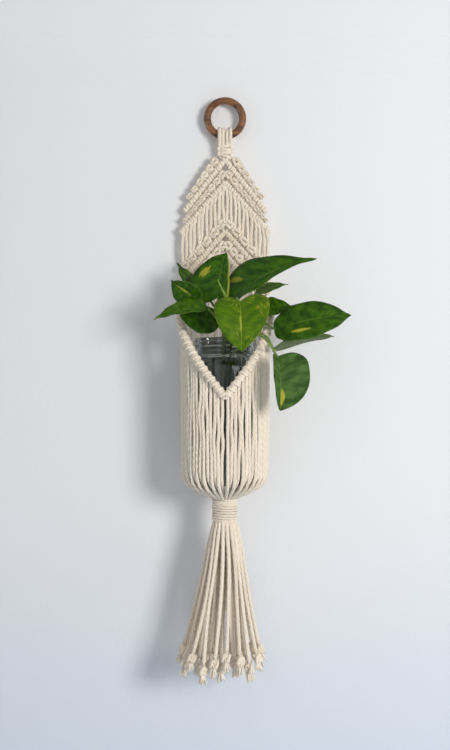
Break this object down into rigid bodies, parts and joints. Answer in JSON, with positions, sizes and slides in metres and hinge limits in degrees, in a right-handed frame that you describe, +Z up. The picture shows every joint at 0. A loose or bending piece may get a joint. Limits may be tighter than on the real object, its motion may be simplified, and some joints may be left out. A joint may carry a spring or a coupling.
{
  "type": "hanging macrame planter",
  "caption": "Knotted cotton wall hanger on a wooden ring, with a corded pocket that holds a glass jar of leafy cuttings above a gathered tassel.",
  "frame": {"origin": "hang point: the top of the wooden ring's hole, where the planter bears on its hook", "axes": "+Z up, -Y to the front, +X to the viewer's right"},
  "size_m": [0.2141, 0.136, 0.6692],
  "materials": {
    "wood": "turned, oiled, satin",
    "cotton": "undyed cotton cord, matt",
    "glass": "clear pressed glass",
    "water": "clear water",
    "stem": "living plant stem",
    "leaf": "living leaf, satin, with yellow streaks"
  },
  "bodies": {
    "ring": {"wood_ring": "wood"},
    "hanger": {"mounting_cords": "cotton", "top_knot": "cotton", "edge_knots_left": "cotton", "edge_knots_right": "cotton", "upper_row_knots_left": "cotton", "upper_row_knots_right": "cotton", "net_knots_left": "cotton", "net_knots_right": "cotton", "lower_row_knots_left": "cotton", "lower_row_knots_right": "cotton", "panel_cords_left": "cotton", "panel_cords_right": "cotton", "neckline_core_left": "cotton", "neckline_core_right": "cotton", "neckline_hitches_left": "cotton", "neckline_hitches_right": "cotton", "pocket_cords_left": "cotton", "pocket_cords_right": "cotton", "chevron_1_core_left": "cotton", "chevron_1_core_right": "cotton", "chevron_2_core_left": "cotton", "chevron_2_core_right": "cotton", "chevron_3_core_left": "cotton", "chevron_3_core_right": "cotton", "chevron_4_core_left": "cotton", "chevron_4_core_right": "cotton", "chevron_1_hitches_left": "cotton", "chevron_1_hitches_right": "cotton", "chevron_2_hitches_left": "cotton", "chevron_2_hitches_right": "cotton", "chevron_3_hitches_left": "cotton", "chevron_3_hitches_right": "cotton", "chevron_4_hitches_left": "cotton", "chevron_4_hitches_right": "cotton", "back_cords": "cotton", "gathered_bundle": "cotton", "gathering_wrap": "cotton"},
    "tassel": {"tassel_head": "cotton", "tassel_cords_inner": "cotton", "tassel_cords_middle": "cotton", "tassel_cords_outer": "cotton", "tassel_end_knots": "cotton", "tassel_frayed_tails": "cotton"},
    "jar": {"glass_jar": "glass", "water": "water"},
    "plant": {"vine_stems": "stem", "leaf_front": "leaf", "leaf_right": "leaf", "leaf_right_low": "leaf", "leaf_right_edge": "leaf", "leaf_top_right": "leaf", "leaf_right_small": "leaf", "leaf_right_behind": "leaf", "leaf_top": "leaf", "leaf_top_left": "leaf", "leaf_left": "leaf", "leaf_left_low": "leaf", "leaf_left_under": "leaf"}
  },
  "joints": [
    {"name": "hanger_swing", "type": "hinge", "parent": "ring", "child": "hanger", "pos_m": [0, 0, -0.03725], "axis": [-1, 0, 0], "range_deg": [0, 45]},
    {"name": "tassel_sway", "type": "hinge", "parent": "hanger", "child": "tassel", "pos_m": [0, -0.0516, -0.48402], "axis": [0, 1, 0], "range_deg": [-12, 12]},
    {"name": "jar_lift", "type": "slide", "parent": "hanger", "child": "jar", "axis": [0, 0, 1], "range_m": [0, 0.2]},
    {"name": "plant_lift", "type": "slide", "parent": "jar", "child": "plant", "axis": [0, 0, 1], "range_m": [0, 0.16]}
  ]
}
